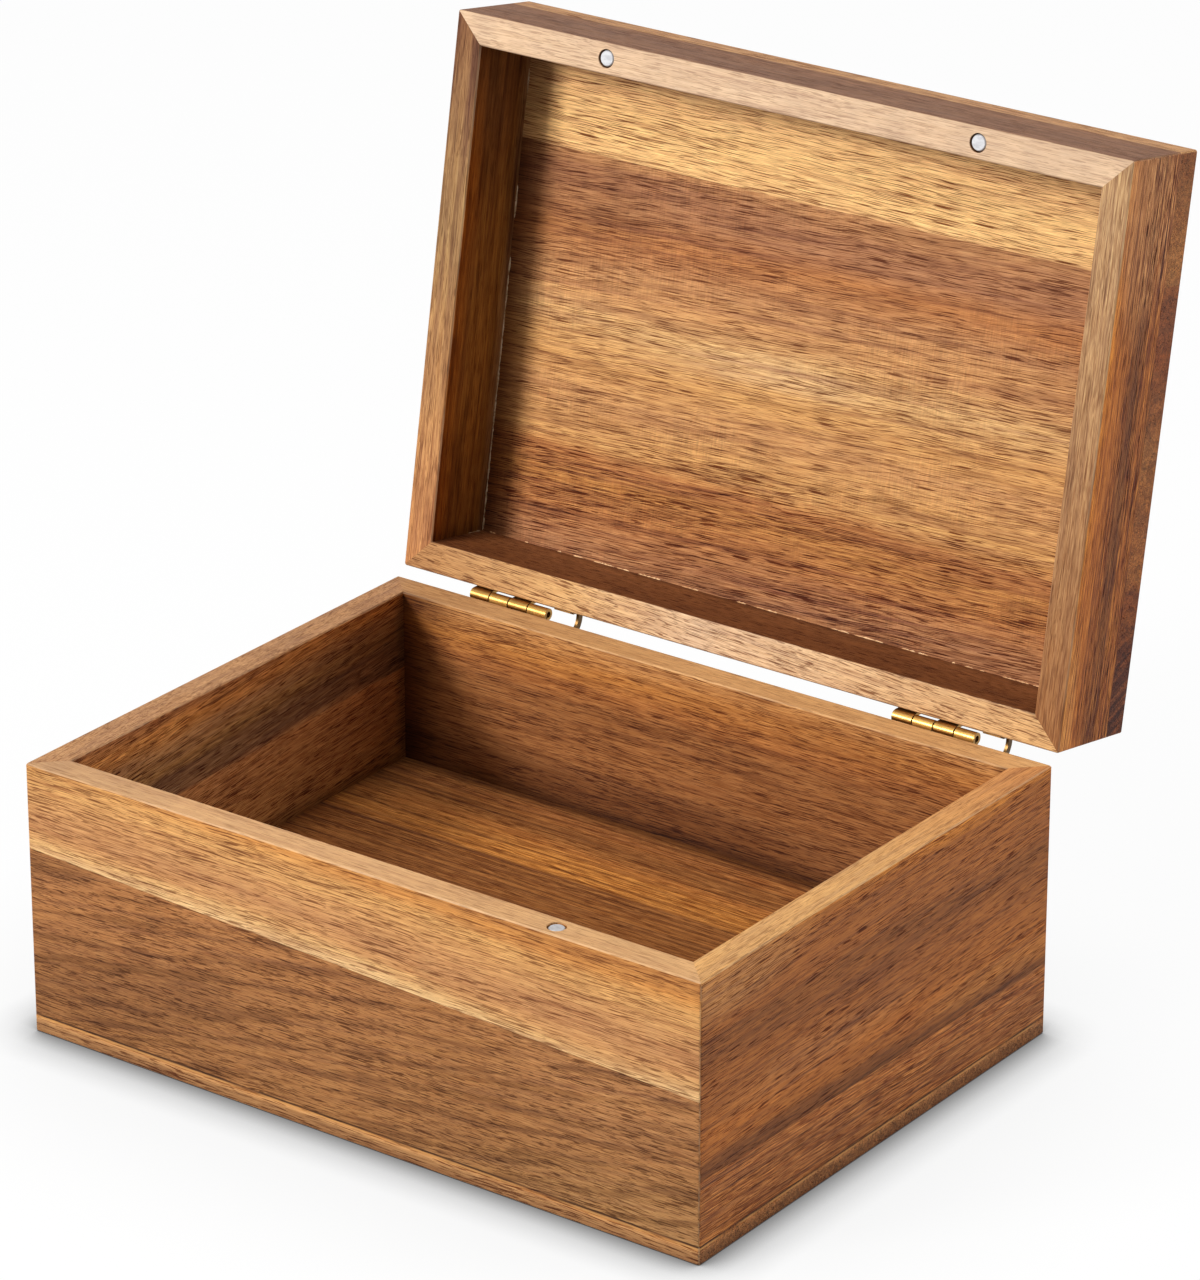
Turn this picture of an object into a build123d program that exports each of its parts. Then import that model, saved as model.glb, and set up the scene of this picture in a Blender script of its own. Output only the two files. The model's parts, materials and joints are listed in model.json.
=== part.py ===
from build123d import *
import math
import os

# A dice box with a hinged lid, standing open on its stop hinges.
# Millimetres, +Z up, front towards -Y. The origin is the centre of the underside.

# Whole box
box_width = 250.0
box_depth = 182.0
base_height = 90.0
wall_thickness = 10.0
corner_radius = 0.8
edge_ease = 0.45

# Bottom plate under the walls, and the raised floor let into them
plate_thickness = 6.0
floor_height = 32.0
floor_thickness = 6.0
tongue_thickness = 4.0
tongue_length = 4.0
groove_spare = 0.3

# Lid
lid_wall_height = 27.5
lid_top_thickness = 9.5
rim_gap = 0.3
open_angle = 100.0

# Glue joints between the boards of a wall: height above the underside at each end
front_joint_left = 62.0
front_joint_right = 52.3
right_joint_front = 26.9
right_joint_back = 24.2
left_joint_front = 58.7
left_joint_back = 64.4

# Glue joint in the lid's top: distance back from its front edge at each end
top_joint_left = 41.7
top_joint_right = 41.2

# Magnets let into the front rims
magnet_diameter = 5.0
magnet_thickness = 3.0
magnet_edge = 0.3
magnet_hole_diameter = 6.0
magnet_recess = 0.3
magnet_from_left = 58.4
magnet_from_right = 54.0

# Stop hinges on the back
hinge_spacing = 162.5
barrel_length = 30.0
knuckle_count = 4
knuckle_gap = 0.45
sheet_thickness = 1.0
pin_diameter = 1.9
bore_clearance = 0.05
barrel_wood_gap = 0.6
pin_end_depth = 1.0
leaf_height = 15.0
leaf_corner = 1.5
leaf_edge_gap = 2.2
wing_width = 8.0
roll_drop = 3.4
roll_seam = 0.24
arm_mean_radius = 6.5
arm_width = 2.1
arm_root_drop = 10.5
arm_bend_radius = 0.4
stop_clearance = 0.15

# Countersunk screws, two to a leaf
screw_shank_diameter = 2.2
screw_length = 8.0
screw_clearance = 0.05
pilot_hole_spare = 0.4
countersink_angle = 90.0
screw_inset = 6.0
screw_drop = 8.2

# Worked out from the sizes above
half_width = box_width / 2
half_depth = box_depth / 2
inner_half_width = half_width - wall_thickness
inner_half_depth = half_depth - wall_thickness
lid_rim_height = base_height + rim_gap
lid_wall_top = lid_rim_height + lid_wall_height
lid_top_height = lid_wall_top + lid_top_thickness
bore_radius = pin_diameter / 2 + bore_clearance
knuckle_radius = bore_radius + sheet_thickness
pin_offset = knuckle_radius + barrel_wood_gap
pin_y = half_depth + pin_offset
pin_z = base_height + rim_gap / 2
knuckle_length = (barrel_length - (knuckle_count - 1) * knuckle_gap) / knuckle_count
knuckle_pitch = knuckle_length + knuckle_gap
half_barrel = barrel_length / 2
leaf_right = half_barrel + wing_width
leaf_face = pin_offset - sheet_thickness
countersink_run = sheet_thickness * math.tan(math.radians(countersink_angle / 2))
screw_shank_radius = screw_shank_diameter / 2
screw_head_radius = screw_shank_radius + countersink_run
arm_inner_radius = arm_mean_radius - arm_width / 2
arm_outer_radius = arm_mean_radius + arm_width / 2
open_turn = math.radians(open_angle)
mitre_run = 2 * wall_thickness
far = 2 * (box_width + box_depth + lid_top_height)

lid_turn = Pos(0, pin_y, pin_z) * Rot(-open_angle, 0, 0) * Pos(0, -pin_y, -pin_z)


def opened(builder):
    """The lid's piece, modelled shut, swung about the pins to where the lid stands."""
    return lid_turn * builder.part


# ---------------------------------------------------------------- walls

def corner_wedge(side):
    """Plan of one wall between its two mitres."""
    x_in = half_width - mitre_run
    y_in = half_depth - mitre_run
    outlines = {
        "front": [(-half_width, -half_depth), (half_width, -half_depth), (x_in, -y_in), (-x_in, -y_in)],
        "back": [(half_width, half_depth), (-half_width, half_depth), (-x_in, y_in), (x_in, y_in)],
        "left": [(-half_width, half_depth), (-half_width, -half_depth), (-x_in, -y_in), (-x_in, y_in)],
        "right": [(half_width, -half_depth), (half_width, half_depth), (x_in, y_in), (x_in, -y_in)],
    }
    return outlines[side]


def sloping_edge(low_end, high_end, reach, limit):
    """Elevation of everything between a sloping joint and a level far above or below it."""
    slope = (high_end - low_end) / (2 * reach)
    start = low_end - slope * (far - reach)
    finish = high_end + slope * (far - reach)
    return [(-far, start), (far, finish), (far, limit), (-far, limit)]


def wall_board(side, bottom, top, rim_on_top, groove, joint=None, keep_above=True):
    """One board of a wall: mitred ends, eased rim, sloping joint with the board next to it."""
    with BuildPart() as board:
        with BuildSketch(Plane.XY.offset(bottom)) as ring:
            RectangleRounded(box_width, box_depth, corner_radius)
            Rectangle(2 * inner_half_width, 2 * inner_half_depth, mode=Mode.SUBTRACT)
        extrude(amount=top - bottom)
        rim_faces = board.faces().filter_by(Axis.Z).sort_by(Axis.Z)
        rim = rim_faces[-1] if rim_on_top else rim_faces[0]
        chamfer(rim.edges(), length=edge_ease)
        if groove:
            with BuildSketch(Plane.XY.offset(floor_height)) as groove_plan:
                Rectangle(
                    2 * (inner_half_width + tongue_length + groove_spare),
                    2 * (inner_half_depth + tongue_length + groove_spare),
                )
            extrude(amount=-tongue_thickness, mode=Mode.SUBTRACT)
        with BuildSketch(Plane.XY) as wedge:
            Polygon(*corner_wedge(side), align=None)
        extrude(amount=far, mode=Mode.INTERSECT)
        if joint is not None:
            across = Plane.XZ if side in ("front", "back") else Plane.YZ
            reach = half_width if side in ("front", "back") else half_depth
            with BuildSketch(across) as elevation:
                Polygon(*sloping_edge(joint[0], joint[1], reach, far if keep_above else -far), align=None)
            extrude(amount=far, both=True, mode=Mode.INTERSECT)
    return board


front_joint = (front_joint_left, front_joint_right)
right_joint = (right_joint_front, right_joint_back)
left_joint = (left_joint_front, left_joint_back)

base_span = (plate_thickness, base_height, True, True)
base_front_lower_board = wall_board("front", *base_span, front_joint, False)
base_right_upper_board = wall_board("right", *base_span, right_joint, True)
base_right_lower_board = wall_board("right", *base_span, right_joint, False)
base_left_upper_board = wall_board("left", *base_span, left_joint, True)
base_left_lower_board = wall_board("left", *base_span, left_joint, False)

lid_span = (lid_rim_height, lid_wall_top, False, False)
lid_left_wall = wall_board("left", *lid_span)
lid_right_wall = wall_board("right", *lid_span)

# ---------------------------------------------------------------- walls with holes in them

magnet_hole_depth = magnet_thickness + magnet_recess
magnet_y = -half_depth + wall_thickness / 2
magnet_left_x = -half_width + magnet_from_left
magnet_right_x = half_width - magnet_from_right
base_rim = Plane((0, 0, base_height))
lid_rim = Plane((0, 0, lid_rim_height), x_dir=(1, 0, 0), z_dir=(0, 0, -1))

hinge_places = {"left": -hinge_spacing / 2, "right": hinge_spacing / 2}
screw_row = [-half_barrel + screw_inset, leaf_right - 2 * sheet_thickness - screw_inset]


def screw_planes(hinge_x, face_y, axis_z, direction):
    """Planes facing out of the wood, one on the line of each screw of a leaf."""
    return [
        Plane((hinge_x + across, face_y, axis_z + direction * screw_drop), x_dir=(1, 0, 0), z_dir=(0, 1, 0))
        for across in screw_row
    ]


def drill_wood_for_screws(planes):
    """Straight pilot holes, started at the face of the wood."""
    with Locations(*planes):
        Hole(
            radius=screw_shank_radius + screw_clearance,
            depth=screw_length - sheet_thickness + pilot_hole_spare,
        )


with BuildPart() as base_front_upper_board:
    add(wall_board("front", *base_span, front_joint, True).part)
    with Locations(base_rim * Pos(magnet_right_x, magnet_y)):
        Hole(radius=magnet_hole_diameter / 2, depth=magnet_hole_depth)

with BuildPart() as base_back_wall:
    add(wall_board("back", *base_span).part)
    for hinge_x in hinge_places.values():
        drill_wood_for_screws(screw_planes(hinge_x, half_depth, pin_z, -1))

with BuildPart() as lid_front_wall:
    add(wall_board("front", *lid_span).part)
    with Locations(lid_rim * Pos(magnet_left_x, -magnet_y), lid_rim * Pos(magnet_right_x, -magnet_y)):
        Hole(radius=magnet_hole_diameter / 2, depth=magnet_hole_depth)

with BuildPart() as lid_back_wall:
    add(wall_board("back", *lid_span).part)
    for hinge_x in hinge_places.values():
        drill_wood_for_screws(screw_planes(hinge_x, half_depth, pin_z, 1))

# ---------------------------------------------------------------- plate, floor and lid top

with BuildPart() as base_bottom_plate:
    with BuildSketch() as plate_plan:
        RectangleRounded(box_width, box_depth, corner_radius)
    extrude(amount=plate_thickness)
    chamfer(base_bottom_plate.faces().sort_by(Axis.Z)[0].edges(), length=edge_ease)

with BuildPart() as base_floor_panel:
    with BuildSketch(Plane.XY.offset(floor_height)) as tongue_plan:
        Rectangle(2 * (inner_half_width + tongue_length), 2 * (inner_half_depth + tongue_length))
    extrude(amount=-tongue_thickness)
    with BuildSketch(Plane.XY.offset(floor_height - tongue_thickness)) as rebated_plan:
        Rectangle(2 * (inner_half_width - groove_spare), 2 * (inner_half_depth - groove_spare))
    extrude(amount=-(floor_thickness - tongue_thickness))


def top_board(behind_joint):
    """One board of the lid's top, cut along the slanted glue joint."""
    joint_left = -half_depth + top_joint_left
    joint_right = -half_depth + top_joint_right
    with BuildPart() as board:
        with BuildSketch(Plane.XY.offset(lid_wall_top)) as top_plan:
            RectangleRounded(box_width, box_depth, corner_radius)
        extrude(amount=lid_top_thickness)
        chamfer(board.faces().sort_by(Axis.Z)[-1].edges(), length=edge_ease)
        with BuildSketch(Plane.XY) as board_plan:
            limit = far if behind_joint else -far
            Polygon(*sloping_edge(joint_left, joint_right, half_width, limit), align=None)
        extrude(amount=far, mode=Mode.INTERSECT)
    return board


lid_top_front_board = top_board(False)
lid_top_rear_board = top_board(True)

# ---------------------------------------------------------------- magnets


def magnet(rim, x, y):
    """A round disc at the bottom of its hole, just below the rim."""
    with BuildPart() as disc:
        with BuildSketch(rim.offset(-magnet_recess)) as disc_plan:
            with Locations((x, y)):
                Circle(magnet_diameter / 2)
        extrude(amount=-magnet_thickness)
        face_edge = disc.faces().sort_by(Axis((0, 0, 0), rim.z_dir))[-1].edges()
        chamfer(face_edge, length=magnet_edge)
    return disc


base_magnet_right = magnet(base_rim, magnet_right_x, magnet_y)
lid_magnet_left = magnet(lid_rim, magnet_left_x, -magnet_y)
lid_magnet_right = magnet(lid_rim, magnet_right_x, -magnet_y)

# ---------------------------------------------------------------- stop hinges
# Each leaf is drawn hanging down from a pin along X through the origin, wood towards -Y.


def around_pin(radius, angle):
    """A point in the YZ plane, angle turned from +Y towards +Z."""
    return (radius * math.cos(math.radians(angle)), radius * math.sin(math.radians(angle)))


def turned_open(y, z):
    """Where a point of the shut lid goes, seen along the pin, when the lid is fully open."""
    cosine = math.cos(open_turn)
    sine = math.sin(open_turn)
    return (cosine * y + sine * z, cosine * z - sine * y)


roll_mean_radius = bore_radius + sheet_thickness / 2
sheet_mean_offset = pin_offset - sheet_thickness / 2
roll_reach = math.hypot(sheet_mean_offset, roll_drop)
roll_lean = math.degrees(math.atan2(sheet_mean_offset, roll_drop) - math.asin(roll_mean_radius / roll_reach))
roll_start_angle = 180 - roll_lean
roll_end_angle = roll_start_angle + math.degrees(math.acos((bore_radius - roll_seam) / knuckle_radius))


def web_depth(distance, y):
    """Height at which the sloping sheet, at a distance from the pin, crosses a line at y."""
    lean = math.radians(roll_lean)
    start_y = -distance * math.cos(lean)
    start_z = distance * math.sin(lean)
    return start_z - (start_y - y) / math.tan(lean)


def rolled_knuckle(start_x):
    """Sheet led up off the leaf and rolled round the pin, with the end of the roll left open."""
    with BuildPart() as knuckle:
        with BuildSketch(Plane.YZ.offset(start_x)) as roll:
            Circle(knuckle_radius)
            Circle(bore_radius, mode=Mode.SUBTRACT)
            Polygon(
                (0, 0),
                around_pin(far, roll_start_angle),
                around_pin(far, (roll_start_angle + roll_end_angle) / 2),
                around_pin(far, roll_end_angle),
                align=None,
                mode=Mode.SUBTRACT,
            )
            Polygon(
                around_pin(bore_radius, roll_start_angle),
                around_pin(knuckle_radius, roll_start_angle),
                (-pin_offset, web_depth(knuckle_radius, -pin_offset)),
                (-pin_offset, -roll_drop - sheet_thickness),
                (-leaf_face, -roll_drop - sheet_thickness),
                (-leaf_face, web_depth(bore_radius, -leaf_face)),
                align=None,
            )
        extrude(amount=knuckle_length)
    return knuckle


def stop_arm():
    """Curved arm standing out from the edge of the leaf, ending against the open lid's leaf."""
    root = math.hypot(leaf_face, arm_root_drop)
    leave_angle = math.degrees(math.atan2(-arm_root_drop, -leaf_face) + math.acos(arm_outer_radius / root))
    tip_line = -(leaf_face - stop_clearance)
    with BuildPart() as arm:
        with BuildSketch(Plane.YZ.offset(leaf_right - sheet_thickness)) as arm_side:
            Circle(arm_outer_radius)
            Polygon(
                (0, 0),
                (-pin_offset, 0),
                (-pin_offset, -arm_root_drop),
                (-leaf_face, -arm_root_drop),
                around_pin(arm_outer_radius, leave_angle),
                align=None,
            )
            Circle(arm_inner_radius, mode=Mode.SUBTRACT)
            Polygon(
                (-pin_offset, far), (-far, far), (-far, -far), (-pin_offset, -far),
                align=None,
                mode=Mode.SUBTRACT,
            )
            Polygon(
                turned_open(tip_line, far),
                turned_open(tip_line, -far),
                turned_open(-far, -far),
                turned_open(-far, far),
                align=None,
                mode=Mode.SUBTRACT,
            )
        extrude(amount=sheet_thickness)
    return arm


def hinge_leaf(first_knuckle, has_arm):
    """A leaf with every other knuckle; the one on the base also carries the stop arm."""
    with BuildPart() as leaf:
        with BuildSketch(Plane.XZ.offset(pin_offset)) as outline:
            with BuildLine():
                Polyline(
                    (-half_barrel, -leaf_edge_gap),
                    (leaf_right, -leaf_edge_gap),
                    (leaf_right, -leaf_height),
                    (-half_barrel, -leaf_height),
                    close=True,
                )
            make_face()
            fillet(outline.vertices().group_by(Axis.Y)[0], radius=leaf_corner)
            with Locations((-half_barrel, 0)):
                Rectangle(
                    2 * (barrel_length + knuckle_gap),
                    2 * roll_drop,
                    mode=Mode.SUBTRACT,
                )
        extrude(amount=-sheet_thickness)
        for place in range(first_knuckle, knuckle_count, 2):
            add(rolled_knuckle(-half_barrel + place * knuckle_pitch).part)
        if has_arm:
            add(stop_arm().part)
            bend = leaf.edges().filter_by(Axis.Z).filter_by_position(
                Axis.X, leaf_right - sheet_thickness, leaf_right - sheet_thickness
            ).filter_by_position(Axis.Y, -leaf_face, -leaf_face)
            fillet(bend, radius=arm_bend_radius)
        with Locations(*screw_planes(0, -leaf_face, 0, -1)):
            CounterSinkHole(
                radius=screw_shank_radius + screw_clearance,
                counter_sink_radius=screw_head_radius + screw_clearance,
                counter_sink_angle=countersink_angle,
            )
    return leaf


def screw_set():
    """Two countersunk screws, heads flush with the leaf."""
    with BuildPart() as screws:
        for plane in screw_planes(0, -leaf_face, 0, -1):
            with BuildSketch(Plane(plane.origin, x_dir=(1, 0, 0), z_dir=(0, 0, 1))) as profile:
                Polygon(
                    (0, 0),
                    (screw_head_radius, 0),
                    (screw_shank_radius, -sheet_thickness),
                    (screw_shank_radius, -screw_length),
                    (0, -screw_length),
                    align=None,
                )
            revolve(axis=Axis(plane.origin, (0, 1, 0)))
    return screws


def hinge_pin():
    """Pin through all the knuckles, its ends just inside the barrel."""
    with BuildPart() as pin:
        with BuildSketch(Plane.YZ.offset(-half_barrel + pin_end_depth)) as pin_end:
            Circle(pin_diameter / 2)
        extrude(amount=barrel_length - 2 * pin_end_depth)
    return pin


base_leaf = hinge_leaf(1, True).part
lid_leaf = hinge_leaf(0, False).part.mirror(Plane.XY)
base_screws = screw_set().part
lid_screws = base_screws.mirror(Plane.XY)
pin = hinge_pin().part

# ---------------------------------------------------------------- pieces in their places

pieces = {
    "base_front_upper_board": base_front_upper_board.part,
    "base_front_lower_board": base_front_lower_board.part,
    "base_right_upper_board": base_right_upper_board.part,
    "base_right_lower_board": base_right_lower_board.part,
    "base_left_upper_board": base_left_upper_board.part,
    "base_left_lower_board": base_left_lower_board.part,
    "base_back_wall": base_back_wall.part,
    "base_bottom_plate": base_bottom_plate.part,
    "base_floor_panel": base_floor_panel.part,
    "base_magnet_right": base_magnet_right.part,
    "lid_front_wall": opened(lid_front_wall),
    "lid_back_wall": opened(lid_back_wall),
    "lid_left_wall": opened(lid_left_wall),
    "lid_right_wall": opened(lid_right_wall),
    "lid_top_front_board": opened(lid_top_front_board),
    "lid_top_rear_board": opened(lid_top_rear_board),
    "lid_magnet_left": opened(lid_magnet_left),
    "lid_magnet_right": opened(lid_magnet_right),
}

for side, hinge_x in hinge_places.items():
    fixed = Pos(hinge_x, pin_y, pin_z)
    swung = lid_turn * fixed
    pieces[side + "_hinge_base_leaf"] = fixed * base_leaf
    pieces[side + "_hinge_lid_leaf"] = swung * lid_leaf
    pieces[side + "_hinge_pin"] = fixed * pin
    pieces[side + "_hinge_base_screws"] = fixed * base_screws
    pieces[side + "_hinge_lid_screws"] = swung * lid_screws

os.makedirs("parts", exist_ok=True)
for name, piece in pieces.items():
    piece.label = name
    export_step(piece, "parts/" + name + ".step")
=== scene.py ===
import json
import math
import random

import bmesh
import bpy
from mathutils import Matrix, Vector


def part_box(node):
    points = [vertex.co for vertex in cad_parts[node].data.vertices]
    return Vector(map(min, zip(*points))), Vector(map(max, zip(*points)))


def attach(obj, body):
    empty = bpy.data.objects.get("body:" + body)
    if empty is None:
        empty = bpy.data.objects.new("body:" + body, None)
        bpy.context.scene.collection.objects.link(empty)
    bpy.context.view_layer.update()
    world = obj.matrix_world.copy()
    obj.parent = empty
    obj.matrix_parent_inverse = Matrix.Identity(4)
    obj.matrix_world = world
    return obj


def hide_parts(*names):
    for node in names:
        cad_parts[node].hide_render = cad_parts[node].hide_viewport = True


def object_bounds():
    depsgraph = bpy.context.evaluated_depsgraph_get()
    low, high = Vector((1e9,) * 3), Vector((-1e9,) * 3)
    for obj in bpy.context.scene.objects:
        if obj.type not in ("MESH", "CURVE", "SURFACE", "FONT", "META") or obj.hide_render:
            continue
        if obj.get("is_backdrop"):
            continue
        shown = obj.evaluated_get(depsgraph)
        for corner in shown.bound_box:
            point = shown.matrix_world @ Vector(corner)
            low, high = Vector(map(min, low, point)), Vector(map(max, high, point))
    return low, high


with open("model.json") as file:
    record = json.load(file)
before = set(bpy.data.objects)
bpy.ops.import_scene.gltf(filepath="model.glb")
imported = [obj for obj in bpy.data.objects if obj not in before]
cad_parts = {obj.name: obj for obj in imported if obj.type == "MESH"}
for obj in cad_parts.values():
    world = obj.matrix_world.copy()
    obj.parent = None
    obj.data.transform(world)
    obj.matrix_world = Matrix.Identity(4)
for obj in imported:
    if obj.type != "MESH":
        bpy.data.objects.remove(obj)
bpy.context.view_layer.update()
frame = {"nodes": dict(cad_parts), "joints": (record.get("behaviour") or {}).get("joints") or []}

MM = 0.001

# What the boxes of the open lid do not give: its angle in degrees, and heights in millimetres
open_degrees = 100
lid_wall_height = 27.5
lid_top_thickness = 9.5

# ---------------------------------------------------------------- sizes read from the frame

plate_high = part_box("base_bottom_plate")[1]
rim_low, rim_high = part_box("base_back_wall")
half_width = plate_high.x / MM
half_depth = plate_high.y / MM
plate_top = plate_high.z / MM
base_rim = rim_high.z / MM
floor_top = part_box("base_floor_panel")[1].z / MM
wall = (rim_high.y - rim_low.y) / MM
lid_joint = frame["joints"][0]
pin = Vector(lid_joint["pos_m"]) / MM
lid_rim = 2 * pin.z - base_rim
lid_open = math.radians(open_degrees)
lid_wall_top = lid_rim + lid_wall_height
lid_top = lid_wall_top + lid_top_thickness
inner_x = half_width - wall
inner_y = half_depth - wall


# ---------------------------------------------------------------- wiring materials

def rgb(code, tint=(1.0, 1.0, 1.0)):
    """A colour written as on a paint chart, turned to the linear values that shaders use."""
    parts = [int(code[i:i + 2], 16) / 255 for i in (0, 2, 4)]
    linear = [p / 12.92 if p <= 0.04045 else ((p + 0.055) / 1.055) ** 2.4 for p in parts]
    return [part * factor for part, factor in zip(linear, tint)] + [1.0]


class Graph:
    """A material and short ways to wire its nodes."""

    def __init__(self, name):
        self.material = bpy.data.materials.new(name)
        self.material.use_nodes = True
        self.tree = self.material.node_tree
        self.tree.nodes.clear()
        output = self.tree.nodes.new("ShaderNodeOutputMaterial")
        self.shader = self.tree.nodes.new("ShaderNodeBsdfPrincipled")
        self.tree.links.new(self.shader.outputs[0], output.inputs["Surface"])

    def add(self, kind, **settings):
        node = self.tree.nodes.new("ShaderNode" + kind)
        for key, value in settings.items():
            setattr(node, key, value)
        return node

    def plug(self, value, socket):
        """value is another node's output, or a constant for the socket."""
        if isinstance(value, bpy.types.NodeSocket):
            self.tree.links.new(value, socket)
        else:
            socket.default_value = value

    def math(self, operation, a, b=0.0, c=0.0):
        node = self.add("Math", operation=operation)
        for value, socket in zip((a, b, c), node.inputs):
            self.plug(value, socket)
        return node.outputs[0]

    def product(self, value, *factors):
        for factor in factors:
            value = self.math("MULTIPLY", value, factor)
        return value

    def parts(self, vector):
        node = self.add("SeparateXYZ")
        self.plug(vector, node.inputs[0])
        return node.outputs[0], node.outputs[1], node.outputs[2]

    def vector(self, x, y, z):
        node = self.add("CombineXYZ")
        for value, socket in zip((x, y, z), node.inputs):
            self.plug(value, socket)
        return node.outputs[0]

    def stretched(self, vector, x, y, z):
        """The vector measured in cells of that size."""
        node = self.add("VectorMath", operation="DIVIDE")
        self.plug(vector, node.inputs[0])
        node.inputs[1].default_value = (x, y, z)
        return node.outputs[0]

    def noise(self, vector, detail=2.0, roughness=0.5, distortion=0.0):
        node = self.add("TexNoise")
        self.plug(vector, node.inputs["Vector"])
        node.inputs["Scale"].default_value = 1.0
        node.inputs["Detail"].default_value = detail
        node.inputs["Roughness"].default_value = roughness
        node.inputs["Distortion"].default_value = distortion
        return node.outputs["Fac"]

    def step(self, value, low, high, smooth=True):
        """0 below low, 1 above high; low may be the larger."""
        node = self.add("MapRange", interpolation_type="SMOOTHSTEP" if smooth else "LINEAR")
        self.plug(value, node.inputs["Value"])
        node.inputs["From Min"].default_value = low
        node.inputs["From Max"].default_value = high
        return node.outputs["Result"]

    def ramp(self, value, stops, tint):
        """Colours at places along the value, blended between them."""
        start, end = stops[0][0], stops[-1][0]
        node = self.add("ValToRGB")
        self.plug(self.step(value, start, end, smooth=False), node.inputs[0])
        ramp = node.color_ramp
        while len(ramp.elements) < len(stops):
            ramp.elements.new(0.5)
        for element, (place, code) in zip(ramp.elements, stops):
            element.position = (place - start) / (end - start)
            element.color = rgb(code, tint)
        return node.outputs[0]

    def mix(self, factor, a, b, blend="MIX"):
        node = self.add("Mix", data_type="RGBA", blend_type=blend, clamp_factor=True)
        self.plug(factor, node.inputs[0])
        self.plug(a, node.inputs[6])
        self.plug(b, node.inputs[7])
        return node.outputs[2]

    def tinted(self, colour, noise, gain, cast):
        """The colour made lighter or darker by noise around 0.5.

        cast is how far red, green and blue go with it.
        """
        change = self.product(self.math("SUBTRACT", noise, 0.5), gain)
        factors = [self.math("MULTIPLY_ADD", change, part, 1.0) for part in cast]
        return self.mix(1.0, colour, self.vector(*factors), "MULTIPLY")

    def bump(self, height, strength, distance):
        node = self.add("Bump")
        self.plug(height, node.inputs["Height"])
        node.inputs["Strength"].default_value = strength
        node.inputs["Distance"].default_value = distance
        self.tree.links.new(node.outputs[0], self.shader.inputs["Normal"])


def assign(material, *nodes):
    for name in nodes:
        for slot in frame["nodes"][name].material_slots:
            slot.link = "OBJECT"
            slot.material = material


# ---------------------------------------------------------------- wood

# Sizes of the noise cells along the grain and across it, in millimetres
band_wander_cell = (95.0, 22.0, 22.0)
band_flutter_cell = (26.0, 3.2, 3.2)
ring_drift_cell = (90.0, 14.0, 14.0)
growth_line_cell = (34.0, 0.44, 0.44)
fibre_cell = (9.0, 0.2, 0.2)
lustre_cell = (8.0, 13.0, 13.0)
pore_bend_cell = (34.0, 8.0, 8.0)
pore_patch_cell = (40.0, 5.0, 5.0)
ripple_cell = (0.55, 5.0, 5.0)
ripple_patch_cell = (60.0, 25.0, 25.0)
end_curl_cell = (3.0, 1.6, 1.2)
end_stripe_cell = (2.5, 30.0, 1.0)
seam_break_cell = (14.0, 14.0, 30.0)

# How far along the noise each board's seed moves it
seed_shift = 173.0

# Where the paler edge of a board on the rim starts and is complete, in millimetres from the rim
rim_fade = (-0.5, -0.25)

# Pores: width in millimetres, how far they bend with the grain, how they crowd, how softly they
# begin, and the smaller ones as shares of the others
pore_width = 0.31
pore_bend = 2.6
pore_crowding = -0.26
pore_softness = 0.09
small_pore_length = 0.5
small_pore_width = 0.75
small_pore_strength = 0.8

# How gradually a board's heavier grain begins
heavy_fade = 6.0

# Painted shade in the inner corners and by the left wall: its reach from the corners, in
# millimetres, and its tint
painted_shade_reach = 6.0
painted_shade_tint = "7b5e42"

# End grain, and the dark stripe in it
end_contrast = 2.2
end_stripe_slant = 0.5
end_stripe_fade = 4
end_stripe_strength = 0.9
end_stripe_tint = "8c6c64"

# The glued seam over the bottom plate: a hairline, partly painted shadow; a rubbed edge, partly
# painted highlight
seam_shadow_tint = "2e1c10"
seam_fade = (0.4, 0.15)
rubbed_highlight_drop = 0.75
rubbed_highlight_fade = (0.45, 0.2)
rubbed_highlight_strength = 0.6

# The finish
oiled_roughness = 0.5
# Paler arrises: partly wear, partly a painted highlight along the edges
worn_highlight_strength = 0.3
specular_level = 0.14
bump_strength = 0.35
bump_height = 0.00012


def shut_place(graph, on_lid):
    """Where the point lies in the shut box, in millimetres, and which way it faces."""
    coordinates = graph.add("TexCoord")
    place = graph.add("Mapping")
    facing = graph.add("Mapping", vector_type="VECTOR")
    graph.tree.links.new(coordinates.outputs["Object"], place.inputs[0])
    graph.tree.links.new(coordinates.outputs["Normal"], facing.inputs[0])
    place.inputs["Scale"].default_value = (1 / MM, 1 / MM, 1 / MM)
    if on_lid:
        turn = Matrix.Rotation(lid_open, 3, "X")
        place.inputs["Rotation"].default_value = (lid_open, 0, 0)
        facing.inputs["Rotation"].default_value = (lid_open, 0, 0)
        place.inputs["Location"].default_value = pin - turn @ pin
    return place.outputs[0], facing.outputs[0]


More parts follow.
